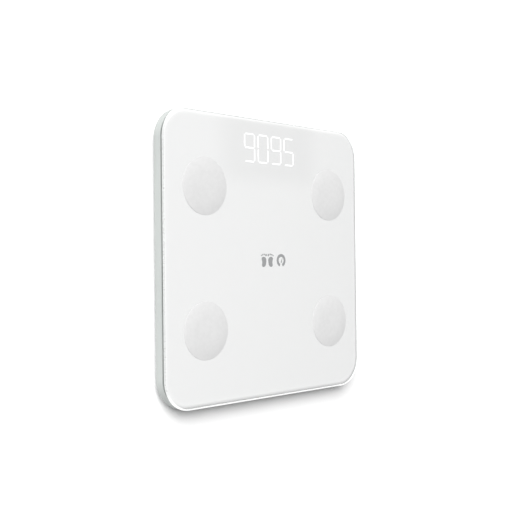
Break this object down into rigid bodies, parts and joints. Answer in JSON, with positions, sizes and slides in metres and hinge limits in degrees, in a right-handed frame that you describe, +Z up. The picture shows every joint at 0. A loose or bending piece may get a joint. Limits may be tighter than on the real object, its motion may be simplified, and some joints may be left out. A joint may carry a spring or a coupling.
{
  "type": "digital bathroom scale",
  "caption": "Square glass-topped digital bathroom scale with round corners, disc electrodes, a hidden display lit through the white glass, and a shallow plastic tray on corner feet.",
  "frame": {"origin": "on the floor, under the centre of the platform", "axes": "+Z up through the glass, +Y from the heels to the display, +X to the right of a person who stands on it facing the display"},
  "size_m": [0.28, 0.28, 0.0224],
  "materials": {
    "glass": "clear tempered glass with ground and polished edges",
    "print": "white ink fired on the back of the glass",
    "tape": "white foam bonding tape",
    "tray": "moulded white ABS, satin outside",
    "electrode": "pale satin metal disc",
    "white_plastic": "moulded white plastic",
    "rubber": "light grey rubber",
    "steel": "stamped and plated steel",
    "board": "green solder mask",
    "black_plastic": "moulded black plastic",
    "battery": "printed sleeve",
    "diffuser": "milky film",
    "cable": "white wire insulation",
    "red_cable": "red wire insulation"
  },
  "bodies": {
    "scale_body": {"glass_platform": "glass", "white_print": "print", "bonding_tape": "tape", "base_tray": "tray", "main_board": "board", "display_reflector": "white_plastic", "display_diffuser": "diffuser", "radio_module": "steel", "controller_chip": "black_plastic", "tact_switch": "black_plastic", "battery_1": "battery", "battery_2": "battery", "battery_3": "battery", "contact_positive": "steel", "contact_bridge_left": "steel", "contact_bridge_right": "steel", "contact_negative": "steel", "electrode_toe_left": "electrode", "load_cell_toe_left": "steel", "cell_carrier_toe_left": "white_plastic", "carrier_screw_toe_left_1": "steel", "carrier_screw_toe_left_2": "steel", "cell_cable_toe_left": "cable", "electrode_lead_toe_left": "cable", "electrode_toe_right": "electrode", "load_cell_toe_right": "steel", "cell_carrier_toe_right": "white_plastic", "carrier_screw_toe_right_1": "steel", "carrier_screw_toe_right_2": "steel", "cell_cable_toe_right": "cable", "electrode_lead_toe_right": "cable", "electrode_heel_left": "electrode", "load_cell_heel_left": "steel", "cell_carrier_heel_left": "white_plastic", "carrier_screw_heel_left_1": "steel", "carrier_screw_heel_left_2": "steel", "cell_cable_heel_left": "cable", "electrode_lead_heel_left": "cable", "electrode_heel_right": "electrode", "load_cell_heel_right": "steel", "cell_carrier_heel_right": "white_plastic", "carrier_screw_heel_right_1": "steel", "carrier_screw_heel_right_2": "steel", "cell_cable_heel_right": "cable", "electrode_lead_heel_right": "cable", "board_screw_1": "steel", "board_screw_2": "steel", "battery_lead_positive": "red_cable", "battery_lead_negative": "black_plastic"},
    "foot_toe_left": {"foot_cup_toe_left": "white_plastic", "foot_pad_toe_left": "rubber"},
    "foot_toe_right": {"foot_cup_toe_right": "white_plastic", "foot_pad_toe_right": "rubber"},
    "foot_heel_left": {"foot_cup_heel_left": "white_plastic", "foot_pad_heel_left": "rubber"},
    "foot_heel_right": {"foot_cup_heel_right": "white_plastic", "foot_pad_heel_right": "rubber"},
    "button": {"unit_button": "white_plastic", "switch_plunger": "white_plastic"},
    "door": {"battery_door": "tray"}
  },
  "joints": [
    {"name": "foot_press_toe_left", "type": "slide", "parent": "scale_body", "child": "foot_toe_left", "axis": [0, 0, 1], "range_m": [0, 0.0006], "stiffness_N_per_m": 1500, "springref_m": -0.0022, "deforming": ["load_cell_toe_left"]},
    {"name": "foot_press_toe_right", "type": "slide", "parent": "scale_body", "child": "foot_toe_right", "axis": [0, 0, 1], "range_m": [0, 0.0006], "stiffness_N_per_m": 1500, "springref_m": -0.0022, "deforming": ["load_cell_toe_right"]},
    {"name": "foot_press_heel_left", "type": "slide", "parent": "scale_body", "child": "foot_heel_left", "axis": [0, 0, 1], "range_m": [0, 0.0006], "stiffness_N_per_m": 1500, "springref_m": -0.0022, "deforming": ["load_cell_heel_left"]},
    {"name": "foot_press_heel_right", "type": "slide", "parent": "scale_body", "child": "foot_heel_right", "axis": [0, 0, 1], "range_m": [0, 0.0006], "stiffness_N_per_m": 1500, "springref_m": -0.0022, "deforming": ["load_cell_heel_right"]},
    {"name": "button_press", "type": "slide", "parent": "scale_body", "child": "button", "axis": [0, 0, 1], "range_m": [0, 0.0005], "stiffness_N_per_m": 4000},
    {"name": "door_hinge", "type": "hinge", "parent": "scale_body", "child": "door", "pos_m": [0, 0.0163, 0.0055], "axis": [-1, 0, 0], "range_deg": [0, 80]}
  ]
}
